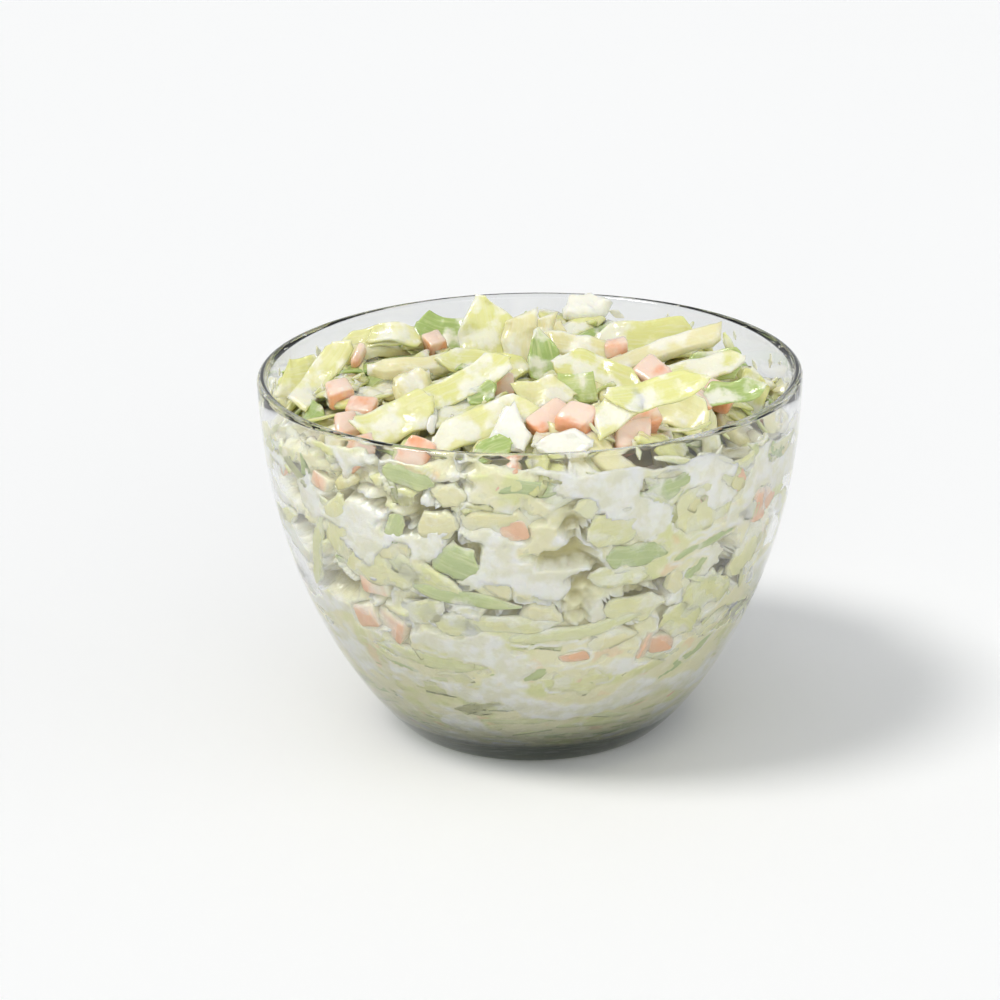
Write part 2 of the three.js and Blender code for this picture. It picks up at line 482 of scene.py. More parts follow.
def cut_piece(rng, kind, length, width, thickness, bend, curl, ends, twist=0.2):
    """A piece of a kind, finely meshed. Its length, width and thickness are in millimetres."""
    length, width, thickness = length * MM, width * MM, thickness * MM
    if kind == "carrot":
        return die(rng, 0.95 * np.array([length, width, thickness]), 1.1 * MM)
    ruffle = 0.05 * width
    return slab(rng, length, width, thickness, bend, curl, twist, ends, ruffle, 0.06, 20, 7)


# Cuts of cabbage, each range from least to most. Lengths, widths, thicknesses and ruffles are in
# millimetres. Bend, curl and twist are the spreads of random turns, or a range, in radians.
CUTS = {
    # kind: length, more when narrow, width, thickness, bend, curl, twist, ends, ruffle, uneven
    "pale": ((13, 27), 6, (5, 9.5), (0.9, 1.7), 0.5, 0.7, 0.4, (0.02, 0.35), (0, 0.5), 0.06),
    "green": ((12, 24), 6, (3.5, 8.5), (0.6, 1.0), 0.6, 0.9, 0.5, (0.03, 0.5), (0.1, 0.8), 0.1),
    "rib": ((9, 22), 0, (4, 6.5), (2.2, 3.6), 0.35, (0.1, 0.7), 0.2, (0.02, 0.2), (0, 0), 0.05),
    "shred": ((14, 28), 12, (1.5, 3.5), (0.6, 1.0), 0.7, 0.6, 0.5, (0.15, 0.15), (0, 0), 0.2),
}
FINENESS = {"shred": (16, 4)}  # steps along and across, where they aren't the usual ones


def drawn(rng, bounds, *count):
    """A random number in a range, or the number itself where the range has no width."""
    return rng.uniform(*bounds, *count) if bounds[0] < bounds[1] else bounds[0]


def random_turn(rng, spread):
    return drawn(rng, spread) if isinstance(spread, tuple) else rng.normal(0, spread)


def random_piece(rng, kind, narrow=0.0):
    """A random piece of a kind. narrow is from 0 for broad cuts to 1 for long narrow ones."""
    if kind == "carrot":
        edge = rng.uniform(4.6, 7.0) * MM
        block = die(rng, edge * rng.uniform(0.75, 1.1, 3), 0.8 * MM)
        block["points"] = turned(block["points"], 0, rng.uniform(-25, 25), rng.uniform(-25, 25))
        return block
    if kind == "dressing":
        length, width = rng.uniform(3, 8), rng.uniform(2, 4.5)
        return cut_piece(rng, kind, length, width, rng.uniform(1, 2.2), 0.3, 0.8, (0.4, 0.5))
    (short, long), more, width, thickness, bend, curl, twist, ends, ruffle, uneven = CUTS[kind]
    smaller = (1 - 0.1 * narrow) * MM if kind == "rib" else MM
    slimmer = smaller if kind == "rib" else (1 - 0.45 * narrow) * MM
    length = rng.uniform(short, long + more * narrow) * smaller
    width = rng.uniform(*width) * slimmer
    thickness = rng.uniform(*thickness) * smaller
    turns = [random_turn(rng, spread) for spread in (bend, curl, twist)]
    ends = drawn(rng, ends, 2) if ends[0] < ends[1] else ends
    ruffle = drawn(rng, ruffle) * MM
    fineness = FINENESS.get(kind, (12, 5))
    return slab(rng, length, width, thickness, *turns, ends, ruffle, uneven, *fineness)


TOP_PIECES = 440
TOP_SHARES = {
    "pale": 0.36, "green": 0.15, "rib": 0.13, "shred": 0.22, "carrot": 0.05, "dressing": 0.09
}
TOP_NARROW = 0.35  # how narrow the cuts on top are, from 0 to 1
TOP_FILM = 0.15  # of dressing over the pieces on top
RIM_MARGIN = 3 * MM  # left between the glass and the middles of the pieces on top
TRIES = 12  # places from which the best is chosen for a piece on top


def heap_on_top(rng, relief):
    """Fills the top up to the heap's outline, each piece laid where most is missing."""
    target = heap_height(*relief.centres()) - FEATURED_LAYER
    for _ in range(TOP_PIECES):
        radius = (RIM - WALL - RIM_MARGIN) * np.sqrt(rng.random(TRIES))
        angle = rng.uniform(0, 2 * np.pi, TRIES)
        spots = np.stack([radius * np.cos(angle), radius * np.sin(angle)], 1)
        missing = target[relief.index(*spots.T)] - relief.sample(*spots.T)
        at = spots[np.argmax(missing)]
        kind = rng.choice(list(TOP_SHARES), p=list(TOP_SHARES.values()))
        piece = random_piece(rng, kind, TOP_NARROW)
        heading = rng.uniform(0, np.pi)

        def place(p, q, at=at, cos=np.cos(heading), sin=np.sin(heading)):
            return at[0] + p * cos - q * sin, at[1] + p * sin + q * cos

        laid = settle(rng, piece, relief, place, drape=0.6, lean=0.2, sink=0.3)
        if laid[:, 2].max() > target.max() + 2 * MM:
            continue
        mark(relief, piece["faces"], place, laid)
        points = inside_glass(np.stack([*place(laid[:, 0], laid[:, 1]), laid[:, 2]], 1))
        KINDS[kind].add(piece, points, rng.random(), TOP_FILM)


LINING_PIECES = 430
LINING_KINDS = ("pale", "green", "rib", "shred", "carrot")
HIGH_SHARES = np.array([0.38, 0.14, 0.11, 0.3, 0.07])  # of these kinds, high on the glass
LOW_CHANGE = np.array([-0.1, 0, -0.09, 0.2, 0])  # and how they change towards the foot
LOW, HIGH = 25 * MM, 70 * MM  # the runs between which they do
SMEARS = 40  # of dressing, on the glass above the salad

# What stands out behind the glass at the front. Angles are round the bowl, in degrees, and
# heights and sizes in millimetres. A turn is from level, in degrees, and tone is from 0 to 1.
THICK_DRESSING_AND_REFLECTION = [
    # angle, height, reach
    (-126, 71, 7), (-98, 59, 7), (-94, 71, 4), (-72, 71, 8), (-62, 68, 9), (-54, 73, 9),
    (-46, 69, 8), (-34, 73, 7), (-22, 62, 8), (-112, 72, 3), (-86, 51, 4), (-127, 55, 6),
    (-36, 66, 5), (-75, 43, 5), (-100, 35, 6), (-145, 66, 5), (-60, 24, 5), (-90, 20, 5),
    # These last rows, at the bowl's left and right edges, are painted reflection: white runny dressing
    # where the glass's edges look white from reflected light.
    (-168, 66, 8), (-160, 49, 7), (-14, 68, 9), (-8, 50, 7), (-20, 40, 5),
]
HOLLOWS = [
    # angle, height, reach
    (-127, 66, 4), (-112, 67, 4), (-131, 58, 3), (-82, 53, 5), (-81, 63, 3), (-150, 50, 4),
    (-40, 50, 3), (70, 60, 5), (110, 52, 5), (20, 64, 4), (160, 66, 5),
]
ON_THE_GLASS = [
    # kind, angle, height, turn, length, width, thickness, curl, tone
    ("green", -116, 75, -10, 12, 5, 1, 0.4, 0.2),
    ("green", -120, 63, 60, 8, 4, 1, 0.4, 0.3),
    ("rib", -107, 72, 10, 7, 5, 3, 0.5, 0.2),
    ("rib", -110, 65, 10, 9, 6, 4, 0.6, 0.3),
    ("carrot", -94, 64, 20, 6, 5, 5, 0, 0.6),
    ("pale", -125, 52, 3, 20, 8, 1.5, 0.2, 0.1),
    ("green", -106, 57, -20, 10, 8, 1, 0.3, 0.6),
    ("green", -108, 49, -10, 30, 3.5, 1, 0.5, 0.3),
    ("carrot", -128, 47, 5, 8, 5, 4, 0, 0.9),
    ("carrot", -134, 39, 20, 7, 6, 4, 0, 0.8),
    ("carrot", -126, 38, -30, 8.5, 7, 5, 0, 0.6),
    ("pale", -108, 41, 0, 10, 6, 1.2, 0.3, 0.2),
    ("shred", -118, 31, -3, 28, 4.5, 1.2, 0.3, 0.5),
    ("pale", -133, 22, -70, 6, 3, 1, 0.3, 0.4),
    ("pale", -112, 12, 20, 15, 4, 1, 0.3, 0.2),
    ("green", -95, 28, 20, 15, 5, 1, 0.4, 0.2),
    ("carrot", -41, 68, 40, 6.5, 5, 4, 0, 0.8),
    ("carrot", -31, 60, 80, 9, 5, 4, 0, 0.5),
    ("green", -67, 57, -5, 14, 5.5, 1, 0.3, 0.8),
    ("green", -50, 56, 12, 18, 2, 0.8, 0.2, 0.9),
    ("green", -51, 51, 35, 7, 2.5, 0.8, 0.2, 0.9),
    ("pale", -52, 38, -40, 12, 8.5, 1, 0.2, 0.8),
    ("carrot", -56, 33, -15, 6.5, 5.5, 4, 0, 0.3),
    ("carrot", -60, 33, 70, 8, 5, 3, 0, 0.8),
    ("carrot", -80, 33, 12, 8, 3.6, 2.5, 0, 0),
    ("pale", -46, 43, 20, 14, 11, 1.2, 0.2, 0.5),
    ("green", -45, 27, 40, 16, 3, 1, 0.2, 0.6),
    ("green", -57, 20, 40, 6, 1.2, 0.8, 0.2, 1),
    ("pale", -78, 26, 5, 14, 9, 1.5, 0.3, 0.2),
    ("pale", -50, 65, 10, 18, 11, 1.5, 0.2, 0.1),
    ("shred", -104, 27, 8, 30, 3, 1, 0.3, 0.8),
    ("green", -122, 27, -12, 18, 1.6, 0.8, 0.3, 0.4),
    ("shred", -88, 22, 25, 22, 3, 1, 0.3, 0.6),
    ("shred", -70, 22, -20, 24, 3, 1, 0.3, 0.2),
    ("shred", -98, 15, 10, 26, 3, 1, 0.3, 0.3),
    ("shred", -72, 13, -10, 24, 2.6, 1, 0.3, 0.4),
    ("green", -84, 24, 30, 16, 2, 0.8, 0.3, 0.3),
    ("pale", -98, 42, 4, 26, 4.5, 1.2, 0.4, 0.2),
    ("shred", -80, 40, 8, 30, 3.6, 1, 0.4, 0.3),
    ("rib", -88, 44, -10, 9, 6, 3, 0.5, 0.1),
    ("pale", -66, 44, 5, 14, 7, 1.2, 0.3, 0.2),
    ("rib", -121, 58, 15, 9, 7, 4, 0.5, 0.1),
    ("rib", -98, 52, -35, 8, 5, 3, 0.5, 0.2),
    ("pale", -72, 64, 12, 13, 8, 1.3, 0.3, 0.3),
    ("pale", -136, 60, 80, 16, 7, 1.4, 0.3, 0.1),
    ("shred", -146, 52, 65, 24, 3, 1, 0.3, 0.4),
    ("pale", -33, 50, 50, 14, 8, 1.4, 0.3, 0.3),
]


def near(places, angle, run):
    """How near each point of the glass is to the nearest of these places, from 0 to 1."""
    share = np.zeros(np.broadcast(angle, run).shape)
    for middle, height, reach in places:
        across = np.interp(run, WALL_RUN, WALL_LINE[:, 0]) * (angle - math.radians(middle))
        distance = np.hypot(across, run - run_at(height * MM))
        share = np.maximum(share, np.exp(-((distance / (reach * MM)) ** 2)))
    return share


class Lining:
    """The pieces laid against the glass, from the outside in."""

    MEAN_RADIUS = 46 * MM
    TRIES = 10  # places from which the barest is chosen for a random piece
    DEEPEST = WALL_LAYER + 5 * MM  # a piece that would stand further in is left out
    PRESSED_FILM = 0.36  # of dressing over what is pressed on the glass
    DEEP_FILM = 0.95  # and over what lies behind
    FILM_DEPTH = 0.7 * MM  # where it is that thick

    def __init__(self, rng):
        half = np.pi * self.MEAN_RADIUS
        self.rng = rng
        self.relief = Relief((-half, 0), (half, WALL_RUN[-1]), True)

    def lay(self, piece, kind, angle, run, heading, tone, lean=0.03):
        """Lays a piece at an angle round the bowl and a run up from the floor's middle."""
        radius = np.interp(run, WALL_RUN, WALL_LINE[:, 0])
        cos, sin = np.cos(heading), np.sin(heading)

        def around(p, q):
            return angle + (p * cos - q * sin) / radius, run + (p * sin + q * cos)

        def place(p, q):
            angles, runs = around(p, q)
            return angles * self.MEAN_RADIUS, runs

        laid = settle(self.rng, piece, self.relief, place, drape=0.9, lean=lean, sink=0.5)
        laid[:, 2] = np.maximum(laid[:, 2], -TOUCH)
        if laid[:, 2].max() > self.DEEPEST:
            return
        mark(self.relief, piece["faces"], place, laid)
        angles, runs = around(laid[:, 0], laid[:, 1])
        points = on_wall(angles, np.clip(runs, 3 * MM, WALL_RUN[-1]), laid[:, 2])
        film = smoothstep(laid[:, 2], 0, self.FILM_DEPTH)
        film = self.PRESSED_FILM + (self.DEEP_FILM - self.PRESSED_FILM) * film
        KINDS[kind].add(piece, points, tone, film)

    def lay_marked(self, kind, angle, height, turn, length, width, thickness, curl, tone):
        """Lays a piece that stands out, at an angle in degrees and a height in millimetres."""
        size = length, width, thickness
        piece = cut_piece(self.rng, kind, *size, 0.3 * curl, curl, (0.15, 0.25), 0.1)
        run = run_at(height * MM)
        self.lay(piece, kind, math.radians(angle), run, math.radians(turn), tone, lean=0)

    def fill(self, count):
        """Lays random pieces, each where least lies so far. Low down there are more fine shreds."""
        rng = self.rng
        for _ in range(count):
            angle = rng.uniform(-np.pi, np.pi, self.TRIES)
            top = run_at(edge_height(angle)) - 2 * MM
            run = LINING_START + (top - LINING_START) * np.sqrt(rng.random(self.TRIES))
            laid = self.relief.sample(angle * self.MEAN_RADIUS, run)
            best = np.argmin(laid + 10 * MM * near(HOLLOWS, angle, run))
            low = 1 - smoothstep(run[best], LOW, HIGH)
            shares = HIGH_SHARES + low * LOW_CHANGE
            kind = rng.choice(LINING_KINDS, p=shares / shares.sum())
            piece = random_piece(rng, kind, 0.6 + 0.4 * low)
            heading = rng.normal(0, 0.18 + 0.35 * (1 - low))
            self.lay(piece, kind, angle[best], run[best], heading, rng.random() ** 1.5)

    def smear(self, count):
        """Leaves small smears of dressing on the glass above the salad."""
        rng = self.rng
        for _ in range(count):
            angle = rng.uniform(-0.2, 1.2) * np.pi
            low = run_at(edge_height(angle)) - MM
            run = low + (WALL_RUN[-1] - 2 * MM - low) * rng.random() ** 1.5
            length = rng.uniform(1.2, 4.2)
            width = length * rng.uniform(0.45, 0.8)
            piece = cut_piece(rng, "dressing", length, width, 0.35, 0, 0, (0.45, 0.5))
            self.lay(piece, "dressing", angle, run, rng.normal(math.pi / 2, 0.7), rng.random())


# ---- featured pieces

# The pieces that stand out on top of the heap, each laid one by one. Where each lies, x and y, and
# its length, width and thickness are in millimetres. It is turned about its own face and then
# tilted to face the front, in degrees. Bend and curl are in radians, ends are the shares of its
# length over which it narrows, and tone is from 0 to 1.
FEATURED = [
    # kind, x, y, turn, tilt, length, width, thickness, bend, curl, ends, tone
    ("pale", -31, 22, 15, 50, 14, 5.5, 1.2, 0.3, 0.6, (0.3, 0.24), 0.9),
    ("green", -20, 17, 165, 45, 12, 9, 0.9, 0.2, 0.5, (0.06, 0.18), 0.5),
    ("carrot", -21, 12, 35, 15, 6.6, 6.4, 6.2, 0, 0, None, 0.3),
    ("dressing", 13, 32, 20, 30, 11, 7, 3.5, 0.5, 0.8, (0.24, 0.24), 0.5),
    ("rib", 7, 16, 110, 55, 9, 4.2, 3, 0.2, 0.5, (0.12, 0.06), 0.3),
    ("rib", 3, 11, 75, 55, 9, 4.2, 3, 0.2, 0.5, (0.12, 0.06), 0.4),
    ("pale", 27, 15, -3, 55, 25, 9, 1.4, -0.5, 0.8, (0.09, 0.18), 0.85),
    ("pale", -35, 12, 8, 40, 15, 6, 1.1, 1.0, 1.4, (0.06, 0.06), 0.3),
    ("pale", -30, 11, -5, 45, 12, 5, 1.1, -0.8, 1.2, (0.06, 0.12), 0.2),
    ("carrot", -38, 7, 60, 40, 6, 2.2, 3, 0, 0, None, 0.8),
    ("pale", -50, 3, 8, 72, 10, 8.5, 1.0, 0.3, 0.4, (0.03, 0.06), 0.9),
    ("pale", -9, 6, 99, 68, 17, 14, 1.1, 0.25, 0.3, (0.05, 0.45), 1.0),
    ("rib", -2, 3, 88, 60, 11, 7.5, 3.4, 0.2, 0.4, (0.03, 0.06), 0.2),
    ("rib", 11, 1, -8, 45, 14, 6, 3.4, 0.2, 0.5, (0.06, 0.06), 0.8),
    ("carrot", 19, 0, 10, 0, 6, 4, 3.6, 0, 0, None, 0.9),
    ("green", 40, -5, 12, 55, 14, 7, 0.9, 0.2, 0.7, (0.06, 0.12), 0.3),
    ("rib", 30, -3, 24, 40, 27, 4.8, 2.8, 0.15, 0.5, (0.03, 0.06), 0.1),
    ("pale", -46, -5, 58, 50, 19, 6, 1.5, 0.9, 0.5, (0.03, 0.06), 0.2),
    ("rib", -24, -6, 3, 45, 23, 4.4, 3.4, 0.2, 0.5, (0.15, 0.12), 0.0),
    ("pale", -10, -8, -8, 40, 21, 6, 1.2, 0.3, 0.5, (0.18, 0.12), 0.6),
    ("green", 3, -9, 100, 60, 13, 8, 0.8, 0.6, 1.8, (0.06, 0.48), 0.6),
    ("pale", 11, -13, -20, 50, 10, 6, 1.5, 0.2, 0.9, (0.18, 0.18), 0.7),
    ("shred", 46, 2, 110, 70, 16, 1.9, 0.9, 0.9, 0.5, (0.12, 0.12), 0.8),
    ("pale", 34, -10, 8, 35, 26, 6, 1.1, 0.3, 0.6, (0.06, 0.12), 0.9),
    ("carrot", -41, -16, 20, 30, 6.2, 6, 5.5, 0, 0, None, 0.6),
    ("carrot", -36, -23, 70, 15, 6.4, 6.6, 6, 0, 0, None, 0.3),
    ("carrot", 27, -16, 40, 20, 7.6, 7.2, 7, 0, 0, None, 0.3),
    ("carrot", 40, -17, 65, 25, 7, 6.8, 6.5, 0, 0, None, 0.2),
    ("pale", 15, -17, -22, 45, 20, 7.5, 1.3, 0.3, 0.7, (0.12, 0.18), 0.7),
    ("rib", -25, -21, 30, 50, 9, 8, 4, 0.3, 0.8, (0.18, 0.18), 0.9),
    ("carrot", -6, -22, 80, 40, 7, 5.6, 5.4, 0, 0, None, 0.2),
    ("green", -10, -29, 30, 40, 7, 5, 0.8, 0.8, 1.6, (0.12, 0.18), 0.9),
    ("pale", -17, -28, 33, 45, 29, 6.5, 1.2, 0.3, 0.5, (0.18, 0.06), 0.8),
    ("green", 10, -30, 2, 60, 8, 6.5, 0.9, 0.2, 0.4, (0.03, 0.03), 0.2),
    ("pale", 3, -31, 10, 55, 11, 7, 1.3, 0.4, 0.6, (0.06, 0.12), 0.1),
    ("pale", 31, -30, -20, 55, 15, 9, 1.4, 0.6, 0.8, (0.03, 0.12), 0.0),
    ("carrot", -39, -31, 15, 35, 6.4, 6, 5.6, 0, 0, None, 0.5),
    ("pale", -28, -36, 20, 45, 17, 9, 1.5, 0.5, 0.6, (0.06, 0.12), 0.3),
    ("carrot", 23, -37, 25, 20, 7.2, 7, 7, 0, 0, None, 0.6),
    ("pale", 13, -38, 60, 60, 7, 6, 1.2, 0.2, 0.3, (0.03, 0.54), 0.1),
    ("carrot", 4, -40, 35, 40, 8, 6, 6, 0, 0, None, 0.0),
    ("carrot", 10, -44, -30, 35, 8.4, 6.2, 6.4, 0, 0, None, 0.5),
    ("pale", -10, -42, 22, 50, 23, 7.5, 1.4, 0.3, 0.5, (0.12, 0.06), 0.2),
    ("dressing", -4, -46, 60, 50, 9, 8, 2.2, 0.3, 0.7, (0.18, 0.12), 0.5),
    ("pale", 18, -44, 40, 50, 12, 7, 1.5, 0.6, 0.7, (0.06, 0.12), 0.2),
    ("pale", 27, -42, 12, 50, 22, 6.5, 1.1, 0.4, 0.6, (0.06, 0.24), 0.9),
    ("green", 43, -25, 15, 40, 15, 6, 0.8, 0.5, 1.2, (0.12, 0.18), 0.5),
    ("pale", 49, -2, 70, 60, 9, 7, 1.1, 0.5, 0.8, (0.06, 0.12), 0.8),
    ("dressing", 7, -50, 2, 65, 12, 6, 1.6, 0.2, 1.2, (0.3, 0.3), 0.5),
    ("green", -8, -50, 25, 45, 9, 5, 0.8, 0.3, 0.8, (0.18, 0.18), 0.4),
]
CARROT_SUNK, LEAF_SUNK = 0.35, 0.1  # share of a featured piece that sinks into what it lies on


def featured(relief, kind, x, y, turn, tilt, length, width, thickness, bend, curl, ends, tone):
    """Lays one featured piece on the heap, sunk in a little where it touches."""
    rng = np.random.default_rng(abs(x) * 100 + abs(y))
    piece = cut_piece(rng, kind, length, width, thickness, bend, curl, ends)
    laid = turned(piece["points"], turn, tilt)

    def place(p, q):
        return x * MM + p, y * MM + q

    gap = laid[:, 2] - relief.sample(*place(laid[:, 0], laid[:, 1]))
    laid[:, 2] -= np.quantile(gap, CARROT_SUNK if kind == "carrot" else LEAF_SUNK)
    mark(relief, piece["faces"], place, laid)
    points = inside_glass(laid + [x * MM, y * MM, 0])
    KINDS[kind].add(piece, points, tone, TOP_FILM)


# ---- the core


def softened(field, times):
    """A field on the angle and run grid, averaged with its neighbours. The angle wraps."""
    for _ in range(times):
        field = (np.roll(field, 1, 0) + 2 * field + np.roll(field, -1, 0)) / 4
        padded = np.pad(field, ((0, 0), (1, 1)), "edge")
        field = (padded[:, :-2] + 2 * padded[:, 1:-1] + padded[:, 2:]) / 4
    return field


CORE_SEGMENTS = 560
CORE_ROWS = 150
CORE_RINGS = 16
CORE_START = 6 * MM  # run from the floor's middle where its side starts
RAGGED = 2.2 * MM  # how far its edge on the glass rises and falls
WARP = 3 * MM  # how far its lumps and patches are pulled out of round
FLATTER = 12 * MM  # how much the lumps are pressed out low in the bowl
FLAT_UP_TO, FREE_FROM = 30 * MM, 70 * MM  # runs between which that wears off
HOLLOW_DEPTH = 7 * MM
PUSHED_FROM, PUSHED_WHOLLY = 45 * MM, 62 * MM  # runs between which pieces start to push it back
LAPPED = 0.8 * MM  # how far it may come forward round the backs of the pieces
MILK_EDGE = (0.14, 0.34)  # noise between which a patch of runny dressing starts and is whole
TOP_LUMPS = 1.2 * MM


def core_grid():
    """The angles and runs of the core's points on its side, up to its ragged edge."""
    angle = np.linspace(-np.pi, np.pi, CORE_SEGMENTS, endpoint=False)
    edge = np.stack([RIM * np.cos(angle), RIM * np.sin(angle), 0 * angle], 1)
    top_run = run_at(edge_height(angle)) + RAGGED * fractal(edge, 10 * MM, 8, 4)
    share = np.linspace(0, 1, CORE_ROWS)
    run = CORE_START + share * (top_run[:, None] - CORE_START)
    return np.repeat(angle[:, None], CORE_ROWS, 1), run


def runny_dressing(flat, bend, angles, run, pushed_back):
    """How far each point of the side is under runny dressing that lies on the glass, from 0 to 1:
    broad patches, and a broken seam round each piece that stands out. The patches at the bowl's
    left and right edges are a painted reflection."""
    patch = fractal(flat * [1, 1, 2.4] + WARP * bend, 18 * MM, 2, 3).reshape(run.shape)
    covered = softened(1.0 * (pushed_back > 0.3 * MM), 2)
    patch += 0.7 * near(THICK_DRESSING_AND_REFLECTION, angles, run) - 0.35 * covered
    patch = smoothstep(patch, *MILK_EDGE)
    seam = smoothstep(covered, 0.05, 0.3) * (1 - smoothstep(covered, 0.4, 0.65))
    seam *= smoothstep(fractal(flat, 7 * MM, 6, 2).reshape(run.shape), -0.35, 0.1)
    return np.maximum(patch, seam)


def core_side(standing_out):
    """The core's side: its points, and how far each touches the glass, lies deep behind it for a
    painted shade, and is milky, which at the bowl's edges is a painted reflection. It keeps
    behind the pieces that stand out on the glass."""
    angles, run = core_grid()
    flat = on_wall(angles, run, 0).reshape(-1, 3)
    bend = np.stack([fractal(flat, 9 * MM, seed, 3) for seed in (3, 4, 5)], 1)
    lumps = fractal(flat * [1, 1, 2.2] + WARP * bend, 15 * MM, 1, 4).reshape(run.shape)
    depth = WALL_LAYER * (0.3 - 1.6 * lumps) - FLATTER * (1 - smoothstep(run, FLAT_UP_TO, FREE_FROM))
    depth += HOLLOW_DEPTH * near(HOLLOWS, angles, run)
    pushed_back = standing_out.sample(angles * Lining.MEAN_RADIUS, run)
    pushed_back *= smoothstep(run, PUSHED_FROM, PUSHED_WHOLLY)
    depth = np.maximum(depth, softened(pushed_back, 2) - LAPPED)
    milk_and_edge_reflection = runny_dressing(flat, bend, angles, run, pushed_back)
    depth = np.clip(depth, -0.5 * TOUCH, WALL_LAYER) * (1 - milk_and_edge_reflection) - INTO_GLASS * milk_and_edge_reflection
    contact = 1 - smoothstep(depth, 0, 0.5 * MM)
    # Painted shade: where the core lies deep behind the glass it takes the darker olive colour.
    hollow_shade = smoothstep(depth, 0.4 * WALL_LAYER, WALL_LAYER)
    return on_wall(angles, run, depth), contact, hollow_shade, milk_and_edge_reflection


def core_top(edge):
    """Rings of the core's top, in from its edge and under the loose pieces, and how shaded each
    is between them."""
    scales = 1 - np.arange(1, CORE_RINGS + 1) / (CORE_RINGS + 1)
    top = np.zeros((CORE_SEGMENTS, CORE_RINGS, 3))
    for k, scale in enumerate(scales):
        ring = edge * scale
        sink = TOP_LAYER * smoothstep(1 - scale, 0, 0.12)
        height = heap_height(ring[:, 0], ring[:, 1]) - sink
        level = np.c_[ring, np.zeros(CORE_SEGMENTS)]
        top[:, k, :2] = ring
        top[:, k, 2] = height + TOP_LUMPS * fractal(level, 8 * MM, 9, 3)
    # Painted shade: inward from the edge, under the loose pieces, the top takes the darker olive
    # colour.
    shaded = np.zeros((CORE_SEGMENTS, CORE_RINGS)) + smoothstep(1 - scales, 0.05, 0.4)
    return top, shaded


def core(standing_out):
    """The dressed mush behind the loose pieces: its points, faces and their values."""
    side, contact, hollow_shade, milk_and_edge_reflection = core_side(standing_out)
    top, shaded = core_top(side[:, -1, :2])
    floor_middle = (0, 0, FLOOR - INTO_GLASS / 2)
    crown = (0, 0, HEAP_CROWN - TOP_LAYER)
    points = np.concatenate([side, top], 1).reshape(-1, 3)
    points = np.vstack([points, floor_middle, crown])
    bare = np.zeros_like(shaded)
    values = {
        "contact": np.append(np.concatenate([contact, bare], 1).ravel(), [1, 0]),
        "hollow_shade": np.append(np.concatenate([hollow_shade, shaded], 1).ravel(), [0, 1]),
        "milk_and_edge_reflection": np.append(np.concatenate([milk_and_edge_reflection, bare], 1).ravel(), [1, 0]),
    }
    return points, faces_round(CORE_SEGMENTS, CORE_ROWS + CORE_RINGS), values


# ---- materials


def srgb(red, green, blue):
    """A linear colour from the usual 0 to 255."""
    shares = [c / 255 for c in (red, green, blue)]
    return [c / 12.92 if c <= 0.04045 else ((c + 0.055) / 1.055) ** 2.4 for c in shares] + [1.0]


class Shader:
    """Builds one material's nodes."""

    def __init__(self, name):
        self.material = bpy.data.materials.new(name)
        self.material.use_nodes = True
        self.tree = self.material.node_tree
        self.tree.nodes.clear()
        self.output = self.tree.nodes.new("ShaderNodeOutputMaterial")

    def node(self, kind, settings=None, **inputs):
        made = self.tree.nodes.new("ShaderNode" + kind)
        for key, value in (settings or {}).items():
            setattr(made, key, value)
        for key, value in inputs.items():
            self.set(made.inputs[key.replace("_", " ")], value)
        return made

    def set(self, socket, value):
        if isinstance(value, bpy.types.NodeSocket):
            self.tree.links.new(value, socket)
        else:
            socket.default_value = value

    def value(self, name, form="Fac"):
        return self.node("Attribute", {"attribute_name": name}).outputs[form]

    def place(self):
        return self.node("TexCoord").outputs["Object"]

    def noise(self, size, detail=3.0, vector=None, roughness=0.5):
        """Noise from 0 to 1, with lumps about size across."""
        place = {"Vector": vector or self.place()}
        made = self.node("TexNoise", Scale=1 / size, Detail=detail, Roughness=roughness, **place)
        return made.outputs["Fac"]

    def join(self, kind, operation, first, second):
        """A sum, product or the like of two inputs."""
        made = self.node(kind, {"operation": operation})
        self.set(made.inputs[0], first)
        self.set(made.inputs[1], second)
        return made.outputs[0]

    def math(self, operation, first, second):
        return self.join("Math", operation, first, second)

    def scaled(self, vector, scale):
        return self.join("VectorMath", "MULTIPLY", vector, scale)

    def ramp(self, value, low, high, start=0.0, end=1.0):
        ends = {"From_Min": low, "From_Max": high, "To_Min": start, "To_Max": end}
        made = self.node("MapRange", {"interpolation_type": "SMOOTHSTEP"}, Value=value, **ends)
        return made.outputs["Result"]

    def mix(self, share, first, second):
        made = self.node("Mix", {"data_type": "RGBA"}, Factor=share, A=first, B=second)
        return made.outputs["Result"]

    def bump(self, height, distance, strength=1.0, under=None):
        made = self.node("Bump", Height=height, Distance=distance, Strength=strength)
        if under is not None:
            self.set(made.inputs["Normal"], under)
        return made.outputs["Normal"]

    def upward(self, share):
        """A share of how far the surface faces up: for dressing that gathers there, and on the carrot
            dice also for painted light on their lit tops.
        """
        facing = self.node("NewGeometry").outputs["Normal"]
        up = self.node("SeparateXYZ", Vector=facing).outputs["Z"]
        return self.math("MULTIPLY", up, share)

    def finish(self, surface):
        self.set(self.output.inputs["Surface"], surface)
        return self.material


DRESSING = srgb(246, 244, 232)
THIN_DRESSING = srgb(242, 239, 212)
WET = {
    "IOR": 1.42,
    "Subsurface_Weight": 0.45,
    "Subsurface_Radius": (1.0, 0.85, 0.45),
    "Subsurface_Scale": 1.6 * MM,
    "Coat_Weight": 0.6,
    "Coat_Roughness": 0.08,
}
SMOOTHEST, ROUGHEST = 0.12, 0.34  # roughness of the wet surfaces
THICKEST_COAT = 0.85  # most that a coat of dressing hides of what is under it


